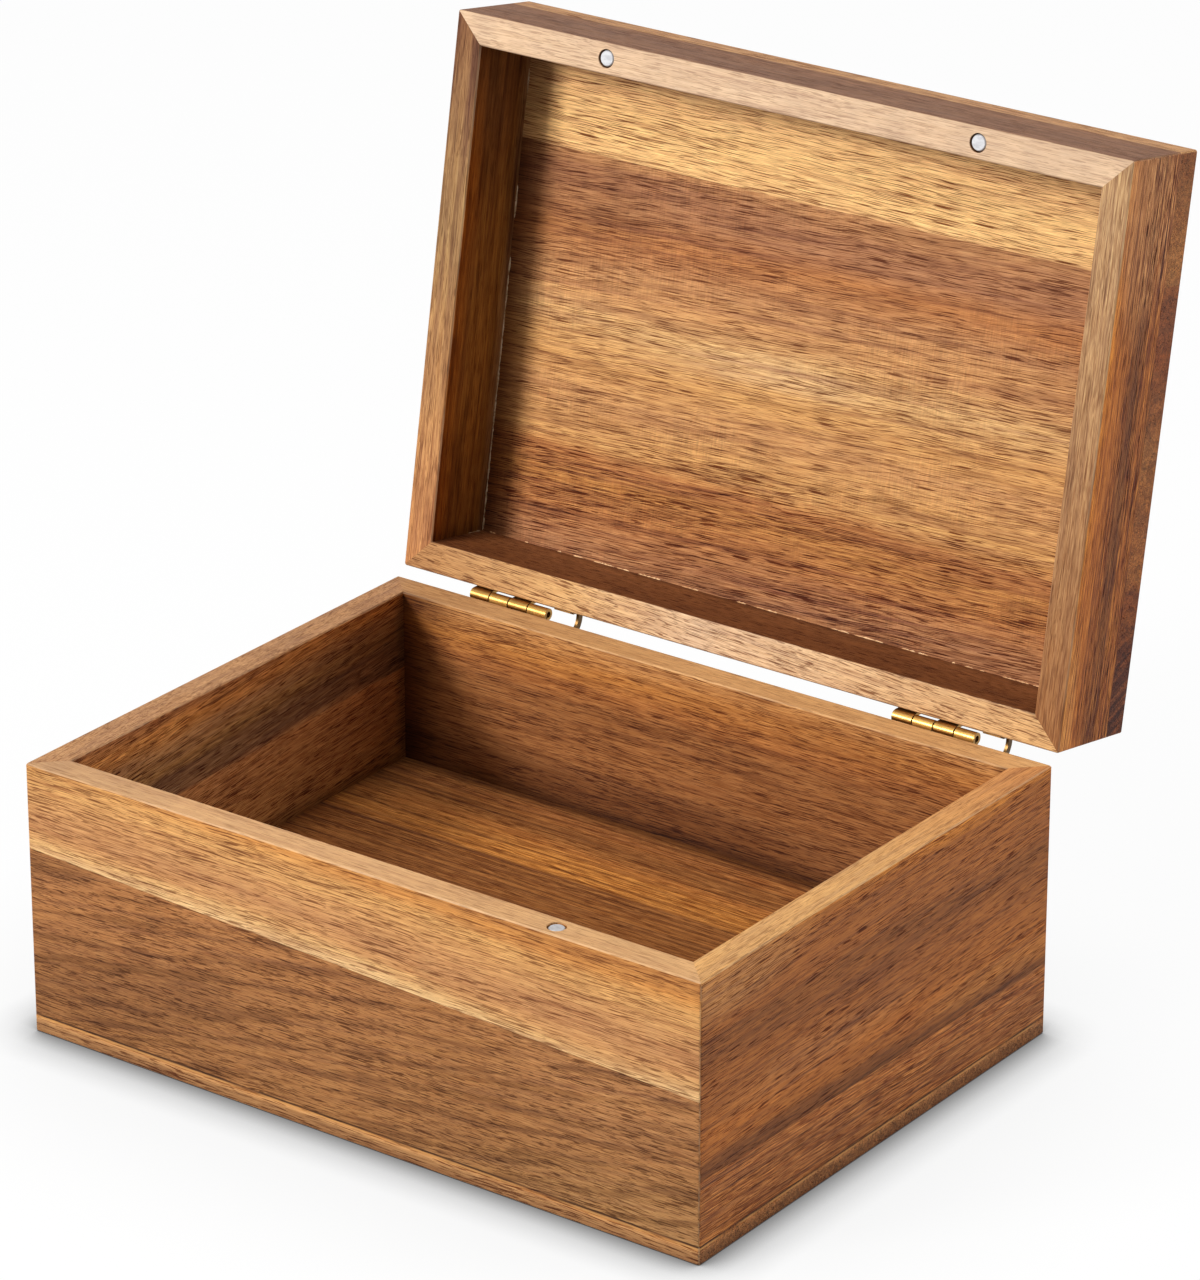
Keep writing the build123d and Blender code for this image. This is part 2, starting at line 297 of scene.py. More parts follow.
class Board(Graph):
    """A board's material: its directions in the shut box, and the colour, layer by layer."""

    def __init__(self, name, along, across, on_lid, slope, tilt, streak_tilt, rim_tilt, seed):
        super().__init__(name)
        self.on_lid = on_lid
        self.place, facing = shut_place(self, on_lid)
        self.x, self.y, self.z = self.parts(self.place)
        axes = {"x": self.x, "y": self.y, "z": self.z}
        self.u = axes[along]
        self.v = axes[across]
        thickness = axes[({"x", "y", "z"} - {along, across}).pop()]

        facing_x, facing_y, facing_z = [self.math("ABSOLUTE", part) for part in self.parts(facing)]
        self.on_end = self.step(facing_x, 0.8, 0.95) if along == "x" else 0.0
        squarest = self.math("MAXIMUM", self.math("MAXIMUM", facing_x, facing_y), facing_z)
        self.on_edge = self.step(squarest, 0.97, 0.85)

        shifted = self.math("ADD", self.u, seed * seed_shift)
        deep = self.math("MULTIPLY_ADD", self.u, -rim_tilt, thickness)
        self.level = self.math("MULTIPLY_ADD", self.u, -slope, self.v)
        tilted = self.math("MULTIPLY_ADD", self.u, -tilt, self.v)
        self.drawn = self.math("MULTIPLY_ADD", self.u, -streak_tilt, self.v)
        self.grain = self.vector(shifted, tilted, deep)
        self.streak_grain = self.vector(shifted, self.drawn, deep)
        self.band_grain = self.vector(shifted, self.level, thickness)
        bend = self.noise(self.stretched(self.grain, *pore_bend_cell), detail=1.0)
        self.pore_grain = self.vector(
            shifted, self.math("MULTIPLY_ADD", bend, pore_bend, tilted), deep
        )
        self.flutter = self.noise(
            self.stretched(self.grain, *band_flutter_cell), detail=3.0, roughness=0.6
        )

    def darken(self, amount, code):
        """Multiply the colour by a tint, as far as amount says."""
        dark = self.mix(1.0, self.colour, rgb(code), "MULTIPLY")
        self.colour = self.mix(amount, self.colour, dark)

    def paint_bands(self, bands, tint, wander):
        """Colour bands that wander slowly along the board."""
        slow = self.noise(self.stretched(self.band_grain, *band_wander_cell), detail=2.0)
        t = self.math("MULTIPLY_ADD", self.math("SUBTRACT", slow, 0.5), wander * 3, self.level)
        self.t = self.math("MULTIPLY_ADD", self.math("SUBTRACT", self.flutter, 0.5), wander, t)
        self.colour = self.ramp(self.t, bands, tint)

    def paint_stain(self, centre_u, centre_v, half_length, half_height, strength, tone):
        """A stain, or a pale or dark patch, on this board: its own, save where a call says it is
        painted shadow.
        """
        du = self.math("DIVIDE", self.math("SUBTRACT", self.u, centre_u), half_length)
        dv = self.math("DIVIDE", self.math("SUBTRACT", self.t, centre_v), half_height)
        radius = self.math("ADD", self.product(du, du), self.product(dv, dv))
        spot = self.step(radius, 1.0, 0.0)
        self.colour = self.mix(self.product(spot, strength), self.colour, rgb(tones[tone]))

    def paint_rim(self, rim, rim_level, rim_side, rim_calm, rim_tint):
        """A board's edge on the rim is paler and plainer. Gives how plain each point is."""
        edge = rim_side * rim_level
        height = self.math("MULTIPLY", self.z, rim_side)
        on_rim = self.step(height, edge + rim_fade[0], edge + rim_fade[1])
        self.colour = self.mix(on_rim, self.colour, self.ramp(self.u, rim, rim_tint))
        return self.math("MULTIPLY_ADD", on_rim, -rim_calm, 1.0)

    def paint_streaks(self, force, length, width, figure, cast, streaks, tint):
        """Long soft streaks: dark one way, pale the other, with the darkest ones tinted."""
        streak = self.noise(
            self.stretched(self.streak_grain, length, width, width), detail=4.0, roughness=0.62
        )
        self.colour = self.tinted(self.colour, streak, self.product(force, figure), cast)
        self.darken(self.product(self.step(streak, 0.53, 0.72), streaks, force), tint)

    def paint_rings(self, calm, rings, tint):
        """Growth rings that the saw has cut lengthwise: dark wavy lines some millimetres apart."""
        spacing, darkness, waviness = rings
        drift = self.noise(
            self.stretched(self.streak_grain, *ring_drift_cell), detail=3.0, roughness=0.55
        )
        count = self.math("DIVIDE", self.drawn, spacing)
        turns = self.math("MULTIPLY_ADD", drift, waviness / spacing, count)
        wave = self.math("SINE", self.math("MULTIPLY", turns, 2 * math.pi))
        line = self.product(self.step(wave, 0.1, 0.95), self.step(self.flutter, 0.3, 0.6))
        self.darken(self.product(line, darkness, calm), tint)

    def paint_fibres(self, force, growth_lines, tint, fibre, silk):
        """Thin growth lines, fine fibres, and a silky lustre that lies across the grain."""
        lines = self.noise(
            self.stretched(self.grain, *growth_line_cell), detail=3.0, roughness=0.55
        )
        self.darken(self.product(self.step(lines, 0.5, 0.7), growth_lines, force), tint)
        self.fine = self.noise(self.stretched(self.grain, *fibre_cell), detail=2.0, roughness=0.6)
        gain = self.product(force, fibre)
        self.colour = self.tinted(self.colour, self.fine, gain, (0.75, 1.05, 1.2))
        lustre = self.noise(self.stretched(self.place, *lustre_cell), detail=2.0)
        self.colour = self.tinted(self.colour, lustre, silk, (1.0, 1.0, 0.8))

    def paint_pores(self, force, pores, pore_length, tint):
        """Open pores: dark dashes along the grain, dots where the grain ends."""
        patches = self.noise(self.stretched(self.grain, *pore_patch_cell), detail=2.0)
        crowd = self.math("MULTIPLY", self.math("SUBTRACT", patches, 0.5), pore_crowding)
        pits = 0.0
        for length_share, width_share, start, strength in (
            (1.0, 1.0, 0.59, 1.0),
            (small_pore_length, small_pore_width, 0.6, small_pore_strength),
        ):
            length, width = pore_length * length_share, pore_width * width_share
            cells = self.stretched(self.pore_grain, length, width, width)
            dashes = self.noise(cells, detail=0.6, roughness=0.4)
            shown = self.math("SUBTRACT", dashes, crowd)
            pit = self.product(self.step(shown, start, start + pore_softness), strength)
            pits = self.math("MAXIMUM", pit, pits)
        self.depth = self.product(pits, pores, force)
        self.darken(self.depth, tint)

    def paint_ripple(self, ripple):
        """Silky ripple across the grain, in patches."""
        wave = self.noise(self.stretched(self.grain, *ripple_cell), detail=2.0)
        patches = self.noise(self.stretched(self.grain, *ripple_patch_cell))
        where = self.step(patches, 0.4, 0.62)
        lift = self.product(self.math("SUBTRACT", wave, 0.5), self.product(where, ripple))
        lift = self.math("ADD", lift, 1.0)
        self.colour = self.mix(1.0, self.colour, self.vector(lift, lift, lift), "MULTIPLY")

    def paint_corner_shade(self, painted_corner_shade, left_shade):
        """Painted shade in the inner corners, and a painted shadow on the board next to the left
        wall.
        """
        if self.on_lid:
            depth_in = self.math("SUBTRACT", lid_wall_top, self.z)
        else:
            depth_in = self.math("SUBTRACT", self.z, floor_top)
        from_side = self.math("SUBTRACT", inner_x, self.math("ABSOLUTE", self.x))
        from_front = self.math("SUBTRACT", inner_y, self.math("ABSOLUTE", self.y))
        lower = self.math("MINIMUM", from_side, from_front)
        upper = self.math("MAXIMUM", from_side, from_front)
        inside = self.step(self.math("MINIMUM", lower, depth_in), -0.6, -0.3)
        from_corner = self.math("MAXIMUM", lower, self.math("MINIMUM", upper, depth_in))
        dark = self.product(self.step(from_corner, painted_shade_reach, 0.0), painted_corner_shade)
        if left_shade:
            strength, reach = left_shade
            near_left = self.step(self.math("ADD", self.x, inner_x), reach, 0.0)
            dark = self.math("MAXIMUM", dark, self.product(near_left, strength))
        self.darken(self.product(dark, inside), painted_shade_tint)

    def paint_ends(self, end_grain, end_tint, end_dark_from):
        """End grain drinks more oil."""
        plain = self.colour
        self.colour = self.mix(end_grain, self.colour, rgb(end_tint), "MULTIPLY")
        curl = self.noise(
            self.stretched(self.place, *end_curl_cell), detail=3.0, roughness=0.6, distortion=1.4
        )
        self.colour = self.tinted(self.colour, curl, end_contrast, (1.1, 1.0, 0.8))
        if end_dark_from is not None:
            slant = self.math("MULTIPLY_ADD", self.z, end_stripe_slant, self.v)
            across_stripes = self.vector(slant, self.z, 0.0)
            stripe = self.noise(self.stretched(across_stripes, *end_stripe_cell), detail=2.0)
            start = end_stripe_slant * lid_top + end_dark_from
            behind = self.step(slant, start - end_stripe_fade, start + end_stripe_fade)
            deep_end = self.product(behind, self.step(stripe, 0.62, 0.45))
            self.darken(self.product(deep_end, end_stripe_strength), end_stripe_tint)
        self.colour = self.mix(self.on_end, plain, self.colour)

    def paint_seam(self, seam):
        """The seam over the bottom plate: a dark hairline, partly the joint and partly painted
        shadow of its gap, and the plate's rubbed edge, partly wear and partly a painted highlight.
        """
        gaps = self.noise(self.stretched(self.place, *seam_break_cell), detail=2.0)
        broken = self.step(gaps, 0.3, 0.55)
        from_seam = self.math("ABSOLUTE", self.math("SUBTRACT", self.z, plate_top))
        visible = self.math("MULTIPLY_ADD", broken, 0.5, 0.3)
        hairline = self.product(self.step(from_seam, *seam_fade), visible)
        if seam == "plate":
            from_edge = self.math("SUBTRACT", self.z, plate_top - rubbed_highlight_drop)
            under = self.step(self.math("ABSOLUTE", from_edge), *rubbed_highlight_fade)
            amount = self.product(under, broken, rubbed_highlight_strength)
            self.colour = self.mix(amount, self.colour, rgb(tones["honey"]))
        self.colour = self.mix(hairline, self.colour, rgb(seam_shadow_tint))

    def finish(self):
        """Paler arrises, partly wear and partly a painted highlight, and the sheen and relief of
        the oiled surface.
        """
        worn_highlight = self.product(self.on_edge, self.step(self.flutter, 0.35, 0.7))
        amount = self.product(worn_highlight, worn_highlight_strength)
        self.colour = self.mix(amount, self.colour, rgb(tones["linen"]))
        self.plug(self.colour, self.shader.inputs["Base Color"])
        gloss = self.math("MULTIPLY_ADD", self.fine, 0.16, oiled_roughness - 0.08)
        gloss = self.math("MULTIPLY_ADD", worn_highlight, 0.15, gloss)
        gloss = self.math("MULTIPLY_ADD", self.depth, 0.25, gloss)
        self.plug(gloss, self.shader.inputs["Roughness"])
        self.shader.inputs["Specular IOR Level"].default_value = specular_level
        height = self.math("MULTIPLY_ADD", self.depth, -0.8, self.product(self.fine, 0.35))
        self.bump(height, bump_strength, bump_height)


def wood(
    name,
    bands,
    along="x",
    across="z",
    on_lid=False,
    slope=0.0,
    wander=2.5,
    figure=1.4,
    cast=(0.9, 1.1, 1.0),
    streaks=0.5,
    streak_tint="9a7462",
    streak_length=60.0,
    streak_width=1.6,
    growth_lines=0.5,
    rings=None,
    tilt=0.0,
    streak_tilt=None,
    pores=0.95,
    pore_tint="84604e",
    pore_length=8.0,
    fibre=1.6,
    silk=0.3,
    ripple=0.0,
    heavy=None,
    rim=None,
    rim_level=None,
    rim_side=1,
    rim_calm=0.5,
    rim_tilt=0.0,
    stains=(),
    end_grain=0.0,
    end_tint="806050",
    end_dark_from=None,
    seam=None,
    tint=(1.0, 1.0, 1.0),
    rim_tint=(1.0, 1.0, 1.0),
    painted_corner_shade=0.0,
    left_shade=None,
    seed=0.0,
):
    """Oiled hardwood. Lengths are millimetres in the shut box.

    bands: colours at places across the board, measured at its middle; they wander by wander
    along, across: the axis the grain follows, and the one the bands are stacked on
    slope, tilt, streak_tilt, rim_tilt: how the bands, the grain, the streaks and the rim's
        grain climb along the board; the streaks follow the grain unless told otherwise
    figure, cast: how strong the long streaks are, and how far red, green and blue go with them
    streaks, growth_lines, pores, fibre, silk, ripple: how strong each of them is
    rings: spacing, darkness and waviness of the growth rings
    heavy: where across the board the grain gets stronger, and by how much
    rim: colours along the edge that shows on the rim; rim_side is 1 if it faces up when shut,
        -1 if it faces down; rim_calm is how much plainer it is
    stains: centre and half size along and across the board, strength and tone
    seam: "wall" above the glued seam, "plate" below it
    nook, left_shade: how dark the painted shade in the inner corners is; strength and reach of the
    painted shadow by the left wall
    """
    if streak_tilt is None:
        streak_tilt = tilt
    board = Board(name, along, across, on_lid, slope, tilt, streak_tilt, rim_tilt, seed)
    board.paint_bands(bands, tint, wander)
    for stain in stains:
        board.paint_stain(*stain)
    calm = board.paint_rim(rim, rim_level, rim_side, rim_calm, rim_tint) if rim else 1.0
    force = calm
    if heavy:
        heavy_from, heavy_gain = heavy
        inside = board.step(board.level, heavy_from - heavy_fade, heavy_from + heavy_fade)
        force = board.product(board.math("MULTIPLY_ADD", inside, heavy_gain, 1.0), calm)
    board.paint_streaks(force, streak_length, streak_width, figure, cast, streaks, streak_tint)
    if rings:
        board.paint_rings(calm, rings, streak_tint)
    board.paint_fibres(force, growth_lines, streak_tint, fibre, silk)
    board.paint_pores(force, pores, pore_length, pore_tint)
    if ripple:
        board.paint_ripple(ripple)
    if painted_corner_shade or left_shade:
        board.paint_corner_shade(painted_corner_shade, left_shade)
    if end_grain:
        board.paint_ends(end_grain, end_tint, end_dark_from)
    if seam:
        board.paint_seam(seam)
    board.finish()
    return board.material


# Tones of the wood, as on a paint chart, from pale to dark
tones = {
    "straw": "f2c17e",
    "wheat": "e2b074",
    "sap": "dab07c",
    "biscuit": "d3a46b",
    "honey": "d09a5c",
    "linen": "cbac8c",
    "oat": "c79e6c",
    "toffee": "c8925c",
    "amber": "c98948",
    "fawn": "b08a60",
    "caramel": "b98354",
    "gold": "bb7e43",
    "copper": "b27442",
    "rose": "ab754e",
    "chestnut": "a96e3e",
    "hazel": "a0683e",
    "tan": "9f7248",
    "mocha": "97643b",
    "olive": "8f683d",
    "khaki": "86602f",
    "walnut": "8b5a35",
    "sienna": "8f551b",
    "drab": "7a583b",
    "umber": "815432",
    "bark": "724728",
}


def shades(*bands):
    return [(place, tones[name]) for place, name in bands]


# Rise of the glue joints between the boards, over the box's width or depth
front_slope = -9.7 / 250.0
right_slope = -2.7 / 182.0
left_slope = 5.7 / 182.0
top_slope = -0.5 / 250.0

front_upper = wood(
    "oiled_front_upper",
    shades((57.2, "sap"), (60.5, "biscuit"), (63.5, "toffee"), (68.5, "caramel"), (74, "toffee"),
           (83, "honey"), (88, "amber"), (90, "gold")),
    slope=front_slope,
    wander=2.2,
    figure=1.5,
    cast=(0.8, 1.1, 1.1),
    streaks=0.3,
    pores=0.8,
    fibre=1.7,
    rim=shades((-125, "fawn"), (-60, "oat"), (125, "oat")),
    rim_level=base_rim,
    rim_tint=(1.1, 1.05, 1.1),
    seed=1,
)
front_lower = wood(
    "oiled_front_lower",
    shades((-20, "tan"), (10, "mocha"), (70, "hazel"), (90, "walnut")),
    slope=0.17,
    tilt=0.02,
    streak_tilt=0.17,
    wander=4.0,
    figure=1.3,
    cast=(1.0, 1.12, 0.88),
    streaks=0.4,
    streak_width=2.4,
    streak_tint="8c7460",
    growth_lines=0.6,
    rings=(8.0, 0.45, 24),
    fibre=2.2,
    pores=0.85,
    pore_length=5.5,
    pore_tint="806854",
    tint=(1.1, 1.17, 1.15),
    stains=((-92, 38, 75, 20, 0.45, "bark"), (112, 48, 70, 55, 0.4, "caramel")),
    seam="wall",
    seed=2,
)
right_upper = wood(
    "oiled_right_upper",
    shades((25.6, "bark"), (29, "walnut"), (32, "chestnut"), (37, "copper"), (43, "chestnut"),
           (52, "hazel"), (67, "walnut"), (72, "hazel"), (80, "hazel"), (86, "chestnut"),
           (90, "amber")),
    along="y",
    slope=right_slope,
    tilt=0.025,
    wander=4.2,
    figure=1.9,
    cast=(1.1, 1.17, 0.73),
    streaks=0.4,
    streak_width=1.3,
    fibre=2.2,
    stains=(
        (-86, 86, 60, 14, 0.5, "toffee"),
        (-30, 44, 60, 9, 0.5, "copper"),
        (60, 34, 50, 7, 0.4, "gold"),
    ),
    rim=shades((-91, "oat"), (0, "oat"), (91, "caramel")),
    rim_level=base_rim,
    tint=(1.0, 0.85, 0.55),
    rim_tint=(1.14, 1.05, 0.94),
    seed=3,
)
right_lower = wood(
    "oiled_right_lower",
    shades((6, "chestnut"), (11, "hazel"), (17, "chestnut"), (22, "copper"), (25.6, "chestnut")),
    along="y",
    slope=right_slope,
    tilt=-0.01,
    figure=2.3,
    cast=(1.15, 1.16, 0.7),
    streaks=0.6,
    fibre=4.6,
    growth_lines=1.0,
    rings=(2.1, 0.45, 24),
    streak_length=45,
    streak_width=0.8,
    tint=(1.07, 0.99, 0.8),
    pores=0.8,
    seam="wall",
    seed=4,
)
left_upper = wood(
    "oiled_left_upper",
    shades((61.5, "tan"), (64, "drab"), (70, "drab"), (74, "olive"), (79, "tan"), (84, "amber"),
           (90, "hazel")),
    along="y",
    slope=left_slope,
    wander=3.5,
    tilt=0.09,
    figure=1.9,
    cast=(1.0, 1.13, 0.87),
    streaks=0.55,
    rings=(5.0, 0.4, 24),
    streak_width=1.8,
    fibre=3.4,
    pores=1.1,
    stains=((70, 76, 60, 16, 0.4, "drab"),),
    rim=shades((-91, "tan"), (91, "tan")),
    rim_level=base_rim,
    painted_corner_shade=0.45,
    tint=(1.24, 1.28, 1.3),
    rim_tint=(1.39, 1.48, 1.7),
    seed=5,
)
left_lower = wood(
    "oiled_left_lower",
    shades((6, "tan"), (30, "olive"), (61.5, "tan")),
    along="y",
    slope=left_slope,
    wander=3.0,
    tilt=0.09,
    figure=1.8,
    streaks=0.4,
    fibre=3.4,
    pores=1.1,
    painted_corner_shade=0.55,
    tint=(1.3, 1.2, 1.08),
    seam="wall",
    seed=6,
)
back_wood = wood(
    "oiled_back_wall",
    shades((34, "bark"), (40, "bark"), (45, "umber"), (51, "mocha"), (68, "mocha"),
           (74, "chestnut"), (82, "gold"), (90, "toffee")),
    wander=3.0,
    silk=0.15,
    cast=(0.95, 1.12, 0.93),
    streaks=0.4,
    growth_lines=0.7,
    rings=(6.0, 0.3, 14),
    fibre=2.4,
    pores=0.9,
    stains=((92, 42, 75, 16, 0.75, "mocha"), (70, 82, 90, 9, 0.4, "chestnut")),
    rim=shades((-125, "fawn"), (0, "oat"), (125, "oat")),
    rim_level=base_rim,
    painted_corner_shade=0.65,
    left_shade=(0.93, 26),
    tint=(1.07, 1.04, 0.97),
    seam="wall",
    rim_tint=(1.2, 1.11, 1.03),
    seed=7,
)
plate_wood = wood(
    "oiled_plate",
    # The paler band just under the top edge is partly a painted highlight, and the dark band at
    # the top partly painted shadow of the seam
    shades((0, "umber"), (1.8, "tan"), (3.2, "tan"), (4.6, "toffee"), (5.3, "gold"),
           (5.9, "umber")),
    wander=0.9,
    streaks=0.4,
    end_grain=0.5,
    end_tint="b08468",
    seam="plate",
    seed=8,
)
floor_wood = wood(
    "oiled_floor",
    shades((-81, "mocha"), (0, "chestnut"), (16, "walnut"), (23, "mocha"), (31, "walnut"),
           (36, "mocha"), (41, "gold"), (49, "gold"), (55, "chestnut"), (60, "mocha"),
           (66, "walnut"), (72, "hazel"), (77, "walnut"), (81, "bark")),
    across="y",
    wander=1.5,
    figure=2.6,
    cast=(1.0, 1.12, 0.88),
    fibre=3.2,
    silk=0.1,
    streak_length=190,
    streak_width=1.3,
    growth_lines=0.9,
    rings=(3.4, 0.5, 8),
    pores=0.8,
    stains=((-98, 46, 62, 15, 0.35, "mocha"),),
    painted_corner_shade=0.55,
    left_shade=(0.3, 20),
    tint=(1.23, 1.22, 1.0),
    seed=9,
)
lid_front_wood = wood(
    "oiled_lid_front",
    shades((90, "umber"), (106, "umber"), (118, "walnut")),
    on_lid=True,
    wander=3,
    streaks=0.4,
    pores=0.75,
    rim=shades((-125, "linen"), (125, "linen")),
    rim_level=lid_rim,
    rim_side=-1,
    painted_corner_shade=0.5,
    rim_tint=(1.06, 1.05, 1.05),
    seed=10,
)
lid_back_wood = wood(
    "oiled_lid_back",
    shades((90, "bark"), (104, "bark"), (112, "umber"), (118, "walnut")),
    on_lid=True,
    wander=3,
    streaks=0.4,
    rim_calm=0.1,
    rim_tilt=0.05,
    rim=shades((-125, "tan"), (-60, "oat"), (-10, "linen"), (125, "oat")),
    rim_level=lid_rim,
    rim_side=-1,
    painted_corner_shade=0.5,
    tint=(1.07, 0.97, 0.87),
    rim_tint=(1.22, 1.18, 1.12),
    seed=11,
)
lid_left_wood = wood(
    "oiled_lid_left",
    shades((90, "sienna"), (100, "khaki"), (113, "khaki"), (118, "fawn")),
    along="y",
    on_lid=True,
    wander=3,
    figure=2.6,
    streaks=0.7,
    streak_width=2.6,
    pores=0.6,
    rings=(6.5, 0.5, 24),
    rim_calm=0.0,
    rim=shades((-91, "bark"), (-20, "olive"), (91, "copper")),
    rim_level=lid_rim,
    rim_side=-1,
    tint=(1.5, 1.5, 1.44),
    rim_tint=(1.28, 1.44, 1.7),
    painted_corner_shade=0.45,
    # The dark patch at the front end is painted shadow of the lid's front wall
    stains=((-80, 104, 60, 20, 0.75, "bark"),),
    seed=12,
)
lid_right_wood = wood(
    "oiled_lid_right",
    shades((90.3, "amber"), (94, "copper"), (100, "hazel"), (104, "walnut"), (108, "umber"),
           (111, "mocha"), (114, "hazel"), (118, "mocha")),
    along="y",
    on_lid=True,
    wander=1.8,
    tilt=-0.02,
    figure=2.4,
    streaks=0.8,
    streak_length=90,
    streak_width=1.0,
    growth_lines=1.0,
    rings=(3.4, 0.35, 24),
    fibre=3.4,
    pores=0.7,
    tint=(1.1, 0.9, 0.52),
    rim_tint=(1.09, 1.12, 1.16),
    rim_calm=0.35,
    heavy=(103, 0.9),
    stains=(
        (-78, 104, 52, 24, 0.75, "caramel"),
        (10, 107, 60, 5, 0.35, "bark"),
        (84, 92, 40, 5, 0.35, "honey"),
    ),
    rim=shades((-91, "fawn"), (91, "mocha")),
    rim_level=lid_rim,
    rim_side=-1,
    seed=13,
)
top_front_wood = wood(
    "oiled_lid_top_front",
    shades((-91, "toffee"), (-78, "biscuit"), (-70, "wheat"), (-62, "straw"), (-54, "straw"),
           (-49, "wheat")),
    across="y",
    on_lid=True,
    slope=top_slope,
    wander=1.5,
    cast=(0.8, 1.1, 1.1),
    growth_lines=0.4,
    fibre=2.2,
    streaks=0.3,
    pore_length=15.0,
    pores=1.0,
    end_grain=0.95,
    end_tint="a0806a",
    painted_corner_shade=0.1,
    left_shade=(0.5, 12),
    seed=14,
)
top_rear_wood = wood(
    "oiled_lid_top_rear",
    shades((-49, "caramel"), (-42, "rose"), (-34, "rose"), (-26, "copper"), (-16, "caramel"),
           (-6, "toffee"), (3, "biscuit"), (16, "honey"), (26, "toffee"), (42, "honey"),
           (48, "copper"), (56, "gold"), (66, "copper"), (78, "rose"), (91, "hazel")),
    across="y",
    on_lid=True,
    slope=top_slope,
    wander=3.2,
    tilt=-0.042,
    figure=1.35,
    cast=(0.9, 1.13, 0.97),
    fibre=2.0,
    streaks=0.45,
    streak_length=95,
    pore_length=13.0,
    ripple=0.6,
    rings=(7.5, 0.35, 24),
    heavy=(42, 0.55),
    stains=((-90, -34, 48, 15, 0.5, "mocha"), (-8, 6, 46, 6, 0.6, "sap")),
    end_grain=0.9,
    end_tint="b18e73",
    end_dark_from=56.0,
    painted_corner_shade=0.1,
    left_shade=(0.9, 16),
    seed=15,
)

for board_wood, node in (
    (front_upper, "base_front_upper_board"),
    (front_lower, "base_front_lower_board"),
    (right_upper, "base_right_upper_board"),
    (right_lower, "base_right_lower_board"),
    (left_upper, "base_left_upper_board"),
    (left_lower, "base_left_lower_board"),
    (back_wood, "base_back_wall"),
    (plate_wood, "base_bottom_plate"),
    (floor_wood, "base_floor_panel"),
    (lid_front_wood, "lid_front_wall"),
    (lid_back_wood, "lid_back_wall"),
    (lid_left_wood, "lid_left_wall"),
    (lid_right_wood, "lid_right_wall"),
    (top_front_wood, "lid_top_front_board"),
    (top_rear_wood, "lid_top_rear_board"),
):
    assign(board_wood, node)


# ---------------------------------------------------------------- metal

# Sizes of the noise cells and depth of the relief on small parts, in metres
tarnish_cell = (0.004, 0.0016, 0.0016)
scratch_cell = (0.0006, 0.00012, 0.00012)
cloud_cell = (0.004, 0.004, 0.004)
speck_cell = (0.0006, 0.0006, 0.0006)

scratch_depth = 0.00004
dried_relief = 0.0001

# Painted brown shade on the stop arms, which lie in shadow; its width and fade are in millimetres
arm_shade_tint = "3a2a1a"
arm_shade_strength = 0.85
arm_shade_width = 1.1
arm_shade_fade = 0.2


def metal(name, colour, dark, roughness, grain=1.0, arm_shade_from=None, metallic=1.0):
    """Polished metal with faint drawing lines, tarnish in patches and small scratches.

    To the right of arm_shade_from, in metres, the stop arm's painted shade is complete.
    """
    graph = Graph(name)
    coordinates = graph.add("TexCoord").outputs["Object"]
    tarnish = graph.noise(graph.stretched(coordinates, *tarnish_cell), detail=4.0, roughness=0.6)
    scratch = graph.noise(graph.stretched(coordinates, *scratch_cell), detail=3.0, roughness=0.7)
    finish = graph.mix(graph.step(tarnish, 0.42, 0.68), rgb(colour), rgb(dark))
    if arm_shade_from:
        fade_from = arm_shade_from - arm_shade_fade * MM
        brown = graph.step(graph.parts(coordinates)[0], fade_from, arm_shade_from)
        finish = graph.mix(graph.product(brown, arm_shade_strength), finish, rgb(arm_shade_tint))
    graph.plug(finish, graph.shader.inputs["Base Color"])
    gloss = graph.math("MULTIPLY_ADD", tarnish, 0.18, roughness - 0.08)
    gloss = graph.math("MULTIPLY_ADD", scratch, 0.12 * grain, gloss)
    graph.plug(gloss, graph.shader.inputs["Roughness"])
    graph.shader.inputs["Metallic"].default_value = metallic
    graph.bump(scratch, 0.12 * grain, scratch_depth)
    return graph.material


screw_metal = metal("brass_screw", "b48a4c", "8a6532", 0.32)
# The pin is dark brown as painted shade in the gaps between the knuckles and at the barrel's ends
pin_shaded_metal = metal("brass_pin_painted_shade", "4c3820", "2c2016", 0.45)
magnet_metal = metal("nickel_magnet", "bcbcbe", "a8a8ab", 0.5, grain=0.5, metallic=0.25)

for side in ("left", "right"):
    arm_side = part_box(side + "_hinge_base_leaf")[1].x - arm_shade_width * MM
    # The stop arm is darkened by painted shade from this side on
    brass = metal("polished_brass_" + side, "b08446", "94703a", 0.26, arm_shade_from=arm_side)
    assign(brass, side + "_hinge_base_leaf", side + "_hinge_lid_leaf")
    assign(screw_metal, side + "_hinge_base_screws", side + "_hinge_lid_screws")
    assign(pin_shaded_metal, side + "_hinge_pin")
assign(magnet_metal, "base_magnet_right", "lid_magnet_left", "lid_magnet_right")


# ---------------------------------------------------------------- glue, and raised fibres that are partly a painted highlight

def from_shut(point):
    """Where the open lid has a place that is given in the shut box, in millimetres."""
    return pin + Matrix.Rotation(-lid_open, 3, "X") @ (Vector(point) - pin)


def keep_piece(name, mesh, material, body):
    """A finished piece from millimetre points, riding on its body."""
    bmesh.ops.scale(mesh, vec=(MM, MM, MM), verts=mesh.verts)
    bmesh.ops.recalc_face_normals(mesh, faces=mesh.faces)
    data = bpy.data.meshes.new(name)
    mesh.to_mesh(data)
    mesh.free()
    data.materials.append(material)
    piece = bpy.data.objects.new(name, data)
    bpy.context.scene.collection.objects.link(piece)
    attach(piece, body)
    return piece


# Beads of glue and rows of fibres, the fibres partly a painted highlight, in millimetres: how deep
# they are rooted in the corner, the length of a section, and how far from the rim the bead in the
# mitre starts
bead_root = -0.03
bead_section = 0.8
mitre_bead_start = 3.0

# Their shape, as shares of their width: the hollow face, the thin ends and the ragged edge
bead_hollow = 0.38
bead_thin_end = 0.25
bead_ragged = (0.55, 1.25)


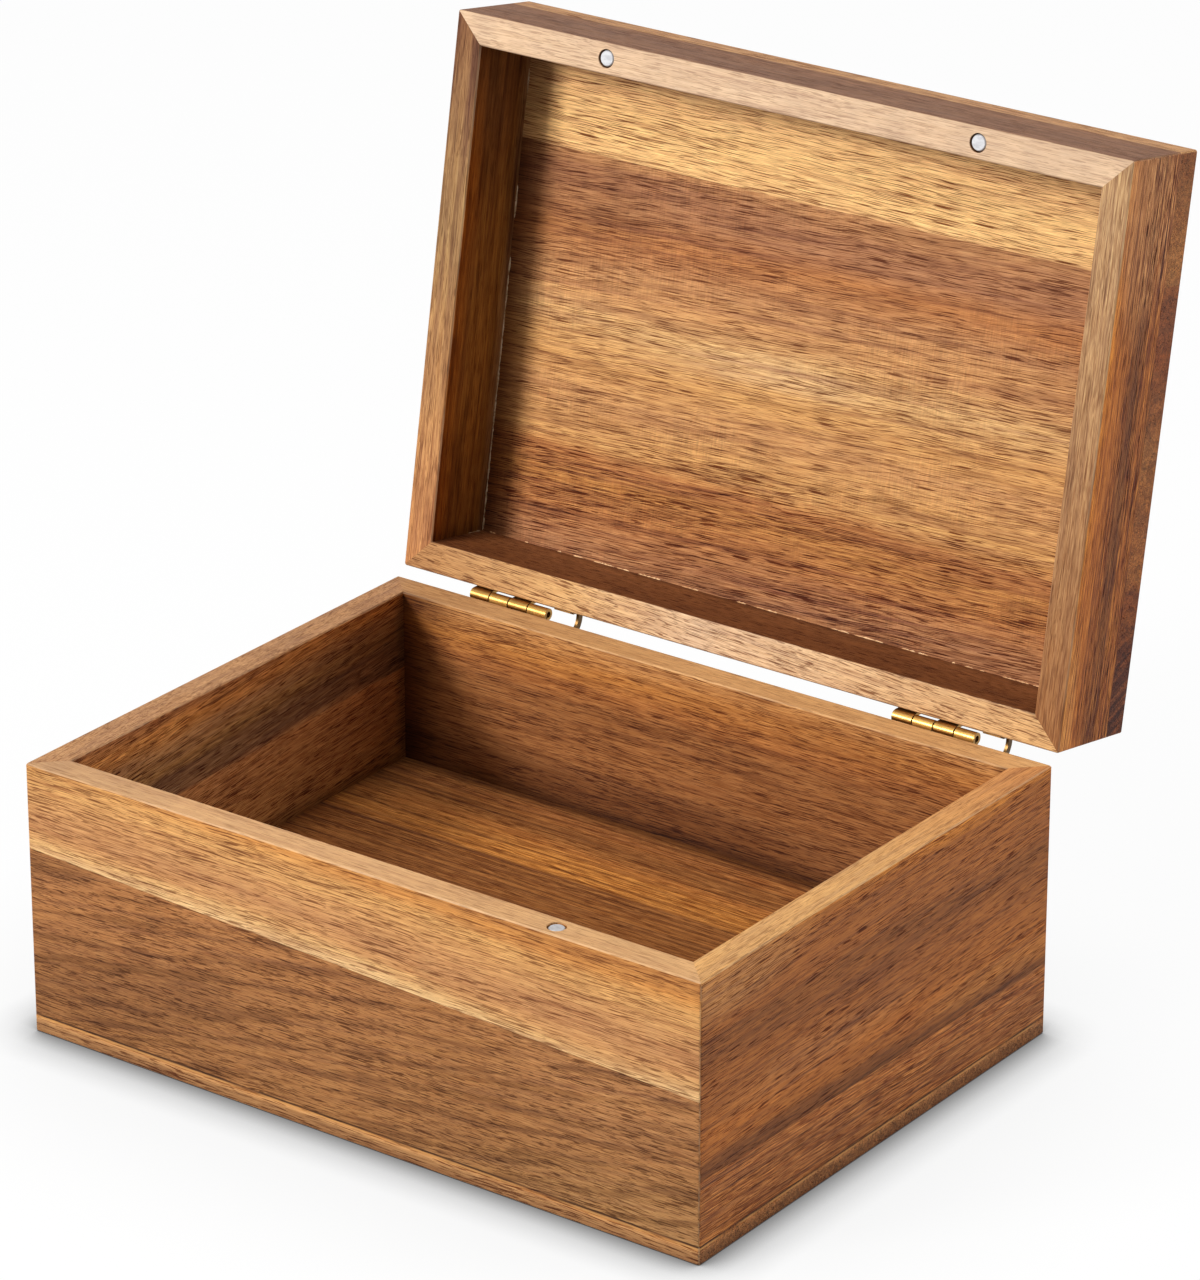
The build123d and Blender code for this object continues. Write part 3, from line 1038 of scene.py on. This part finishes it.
def corner_bead(name, start, end, sides, width, run, cover, material, seed):
    """A broken bead along an inner corner of the lid, each piece thickest at its middle.

    start and end are in the shut box; sides are the two ways out of the corner; run is the
    shortest and longest piece; cover is how much of the corner is filled at its start and end.
    """
    draw = random.Random(seed)
    mesh = bmesh.new()
    start, end = Vector(start), Vector(end)
    along = (end - start).normalized()
    length = (end - start).length
    root = bead_root * (Vector(sides[0]) + Vector(sides[1]))
    place = 0.0
    while place < length - run[0]:
        piece_length = min(draw.uniform(*run), length - place)
        filled = cover[0] + (cover[1] - cover[0]) * place / length
        if draw.random() < filled:
            sections = max(3, round(piece_length / bead_section))
            rings = []
            for i in range(sections + 1):
                share = i / sections
                swell = bead_thin_end + (1 - bead_thin_end) * math.sin(math.pi * share) ** 0.5
                here = start + along * (place + piece_length * share)
                reach = [width * swell * draw.uniform(*bead_ragged) for _ in sides]
                first = Vector(sides[0]) * reach[0]
                second = Vector(sides[1]) * reach[1]
                hollow = bead_hollow * (first + second)
                corners = [here + root, here + first, here + second, here + hollow]
                rings.append([mesh.verts.new(from_shut(corner)) for corner in corners])
            order = (0, 1, 3, 2)
            for near, far in zip(rings, rings[1:]):
                for a, b in zip(order, order[1:] + order[:1]):
                    mesh.faces.new((near[a], near[b], far[b], far[a]))
            for ring in (rings[0], rings[-1]):
                mesh.faces.new([ring[i] for i in order])
        place += piece_length
    return keep_piece(name, mesh, material, "lid")


def dried(name, colour, dark, speck):
    """Dried glue and bare fibre, the fibre partly a painted highlight: uneven, with brown specks
    of oil.
    """
    graph = Graph(name)
    coordinates = graph.add("TexCoord").outputs["Object"]
    cloud = graph.noise(graph.stretched(coordinates, *cloud_cell), detail=3.0, roughness=0.6)
    specks = graph.noise(graph.stretched(coordinates, *speck_cell), detail=2.0)
    finish = graph.mix(graph.step(cloud, 0.4, 0.65), rgb(colour), rgb(dark))
    finish = graph.mix(graph.step(specks, 0.55, 0.7), finish, rgb(speck))
    graph.plug(finish, graph.shader.inputs["Base Color"])
    graph.plug(graph.math("MULTIPLY_ADD", specks, 0.3, 0.35), graph.shader.inputs["Roughness"])
    graph.shader.inputs["Specular IOR Level"].default_value = 0.3
    graph.bump(specks, 0.4, dried_relief)
    return graph.material


glue = dried("dried_glue", "c9b294", "a0825e", "785a3a")
# The pale fibre is partly a painted highlight along the lid's rear inner corner
fibre = dried("fibre_and_highlight", "e6b988", "b98354", "7a5238")

corner_bead(
    "lid_glue_bead_left",
    (-inner_x, -inner_y, lid_wall_top),
    (-inner_x, inner_y, lid_wall_top),
    ((1, 0, 0), (0, 0, -1)),
    width=0.4,
    run=(1.5, 12.0),
    cover=(0.45, 1.0),
    material=glue,
    seed=3,
)
corner_bead(
    "lid_glue_bead_mitre",
    (-inner_x, inner_y, lid_rim + mitre_bead_start),
    (-inner_x, inner_y, lid_wall_top),
    ((1, 0, 0), (0, -1, 0)),
    width=0.3,
    run=(2.0, 7.0),
    cover=(0.5, 1.0),
    material=glue,
    seed=5,
)
# Pale fibres along the rear inner corner: partly a painted highlight on that edge
corner_bead(
    "lid_rear_fibres_and_highlight",
    (-inner_x, inner_y, lid_wall_top),
    (inner_x, inner_y, lid_wall_top),
    ((0, -1, 0), (0, 0, -1)),
    width=0.34,
    run=(0.8, 4.5),
    cover=(0.25, 0.75),
    material=fibre,
    seed=8,
)


# ---------------------------------------------------------------- hinge screws

# The cross recess: its reach and half width as shares of the head's radius, and how much
# smaller its bottom is
cross_reach = 0.62
cross_half_width = 0.16
cross_taper = 0.5

# Depths and lengths, in millimetres
cross_depth = 0.75
head_height = 1.0
head_soft_edge = 0.08
point_length = 1.8

# The tip's width as a share of the shank's, and the number of sides of a circle
point_share = 0.2
circle_steps = 48


def screw(mesh, centre, head_radius, length, put):
    """A countersunk screw with a cross recess, its head facing +Y at centre.

    put moves each point to where it belongs.
    """
    shank_radius = head_radius - head_height

    def ring(radius, depth):
        points = []
        for i in range(circle_steps):
            angle = 2 * math.pi * (i + 0.5) / circle_steps
            points.append((radius * math.cos(angle), -depth, radius * math.sin(angle)))
        return [mesh.verts.new(put(centre + Vector(point))) for point in points]

    def cross(scale, depth):
        arm = cross_reach * head_radius * scale
        half = cross_half_width * head_radius * scale
        quarter = ((arm, -half), (arm, half), (half, half))
        points = []
        for turn in range(4):
            c = round(math.cos(math.pi / 2 * turn))
            s = round(math.sin(math.pi / 2 * turn))
            points += [(x * c - z * s, -depth, x * s + z * c) for x, z in quarter]
        return [mesh.verts.new(put(centre + Vector(point))) for point in points]

    def edges(loop):
        return [mesh.edges.new(pair) for pair in zip(loop, loop[1:] + loop[:1])]

    def bridge(near, far):
        for i in range(len(near)):
            j = (i + 1) % len(near)
            mesh.faces.new((near[i], near[j], far[j], far[i]))

    rings = [
        ring(head_radius - 2 * head_soft_edge, 0.0),
        ring(head_radius - head_soft_edge, head_soft_edge),
        ring(shank_radius, head_height),
        ring(shank_radius, length - point_length),
        ring(shank_radius * point_share, length),
    ]
    mouth, bottom = cross(1.0, 0.0), cross(cross_taper, cross_depth)
    bmesh.ops.triangle_fill(mesh, use_beauty=True, edges=edges(rings[0]) + edges(mouth))
    for near, far in zip(rings, rings[1:]):
        bridge(near, far)
    mesh.faces.new(rings[-1])
    bridge(mouth, bottom)
    mesh.faces.new(bottom)


for side in ("left", "right"):
    low, high = [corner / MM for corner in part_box(side + "_hinge_base_screws")]
    head_radius = (high.z - low.z) / 2
    height = (high.z + low.z) / 2
    for body, put, level in (
        ("base", Vector, height),
        ("lid", from_shut, 2 * pin.z - height),
    ):
        mesh = bmesh.new()
        for across in (low.x + head_radius, high.x - head_radius):
            screw(mesh, Vector((across, high.y, level)), head_radius, high.y - low.y, put)
        node = side + "_hinge_" + body + "_screws"
        piece = keep_piece(node + "_cross", mesh, screw_metal, body)
        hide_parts(node)


# ---------------------------------------------------------------- camera, floor and lights

# The photograph's camera: angles in radians, lens and sensor in millimetres, the rest in metres
camera_azimuth = math.radians(36.35)
camera_elevation = math.radians(23.30)
camera_lens = 172.85
camera_sensor = 36.0
camera_distance = 1.8853
camera_aim_right = 0.0185
camera_aim_up = 0.1201
camera_near = 0.05
camera_far = 50.0

# Where the lamps aim, in metres, and the strength of the room's own light
light_aim_height = 0.1
room_light = 0.10

# The floor: its size in metres, its colours, and how much of its own shading the camera sees
floor_size = 8.0
floor_colour_seen = "f4f4f4"
floor_colour_bounced = "bfbfbf"
floor_roughness = 0.9
floor_own_shading = 0.04

# Contact shadow of the box on the floor: pairs of reach in metres and darkness
contact_shadow = ((0.009, 0.9), (0.02, 1.0), (0.09, 0.13))


def make_camera():
    back = Vector((
        math.sin(camera_azimuth) * math.cos(camera_elevation),
        -math.cos(camera_azimuth) * math.cos(camera_elevation),
        math.sin(camera_elevation),
    ))
    right = Vector((math.cos(camera_azimuth), math.sin(camera_azimuth), 0.0))
    up = back.cross(right)
    data = bpy.data.cameras.new("camera")
    data.lens = camera_lens
    data.sensor_width = camera_sensor
    data.clip_start = camera_near
    data.clip_end = camera_far
    camera = bpy.data.objects.new("camera", data)
    camera.rotation_mode = "QUATERNION"
    camera.location = back * camera_distance + right * camera_aim_right + up * camera_aim_up
    camera.rotation_quaternion = Matrix((right, up, back)).transposed().to_quaternion()
    bpy.context.scene.collection.objects.link(camera)
    bpy.context.scene.camera = camera


def area_light(name, azimuth, elevation, distance, size, strength):
    """A square lamp that faces the box. Angles are degrees, distance and size metres.

    strength is the brightness that the lamp gives a white face turned to it.
    """
    a = math.radians(azimuth)
    e = math.radians(elevation)
    towards = Vector((math.sin(a) * math.cos(e), -math.cos(a) * math.cos(e), math.sin(e)))
    data = bpy.data.lights.new(name, "AREA")
    data.shape = "SQUARE"
    data.size = size
    data.energy = strength * math.pi ** 2 * distance ** 2
    light = bpy.data.objects.new(name, data)
    light.location = Vector((0.0, 0.0, light_aim_height)) + towards * distance
    light.rotation_mode = "QUATERNION"
    light.rotation_quaternion = (-towards).to_track_quat("-Z", "Y")
    bpy.context.scene.collection.objects.link(light)


def seen_rays(tree):
    """1 for rays that show the studio itself: to the camera, in metal and through glass."""
    path = tree.nodes.new("ShaderNodeLightPath")
    seen = path.outputs["Is Camera Ray"]
    for other in ("Is Glossy Ray", "Is Transmission Ray"):
        either = tree.nodes.new("ShaderNodeMath")
        either.operation = "MAXIMUM"
        tree.links.new(seen, either.inputs[0])
        tree.links.new(path.outputs[other], either.inputs[1])
        seen = either.outputs[0]
    return seen


def light_room(strength):
    """A plain room light, with a white background that the camera and the metal see."""
    world = bpy.data.worlds.new("room")
    bpy.context.scene.world = world
    world.use_nodes = True
    tree = world.node_tree
    tree.nodes.clear()
    output = tree.nodes.new("ShaderNodeOutputWorld")
    background = tree.nodes.new("ShaderNodeBackground")
    level = tree.nodes.new("ShaderNodeMapRange")
    level.inputs["To Min"].default_value = strength
    level.inputs["To Max"].default_value = 1.0
    tree.links.new(seen_rays(tree), level.inputs["Value"])
    tree.links.new(level.outputs["Result"], background.inputs["Strength"])
    tree.links.new(background.outputs[0], output.inputs[0])
    background.inputs["Color"].default_value = (1.0, 1.0, 1.0, 1.0)


def make_floor():
    """A white floor with the soft contact shadow of the box, grey for the light it bounces back.

    Rays that show the studio see white at strength 1, dimmed by ambient occlusion near the box,
    with a small share of the floor's own shading. All other rays meet plain grey.
    """
    bpy.ops.mesh.primitive_plane_add(size=floor_size)
    floor = bpy.context.object
    floor.name = "studio_floor"
    floor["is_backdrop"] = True
    graph = Graph("studio_white")
    tree = graph.tree
    seen = seen_rays(tree)
    colour = graph.mix(seen, rgb(floor_colour_bounced), rgb(floor_colour_seen))
    graph.plug(colour, graph.shader.inputs["Base Color"])
    graph.shader.inputs["Roughness"].default_value = floor_roughness
    graph.shader.inputs["Specular IOR Level"].default_value = 0.0
    shadow = 1.0
    for reach, darkness in contact_shadow:
        nearness = graph.add("AmbientOcclusion")
        nearness.inputs["Distance"].default_value = reach
        layer = graph.math("POWER", nearness.outputs["AO"], darkness)
        shadow = graph.product(layer, shadow)
    white = graph.add("Emission")
    graph.plug(shadow, white.inputs["Strength"])
    blend = graph.add("MixShader")
    graph.plug(graph.product(seen, 1.0 - floor_own_shading), blend.inputs[0])
    tree.links.new(graph.shader.outputs[0], blend.inputs[1])
    tree.links.new(white.outputs[0], blend.inputs[2])
    output = next(n for n in tree.nodes if n.type == "OUTPUT_MATERIAL")
    tree.links.new(blend.outputs[0], output.inputs["Surface"])
    floor.data.materials.append(graph.material)


make_camera()
area_light("key_light", azimuth=-30, elevation=26, distance=2.4, size=0.6, strength=0.99)
area_light("top_light", azimuth=-20, elevation=66, distance=1.6, size=0.7, strength=0.46)
area_light("side_light", azimuth=116, elevation=20, distance=1.6, size=0.8, strength=0.60)
light_room(room_light)
make_floor()
bpy.context.scene.view_settings.view_transform = "Standard"

# ---------------------------------------------------------------- bounds of what is shown

low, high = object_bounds()
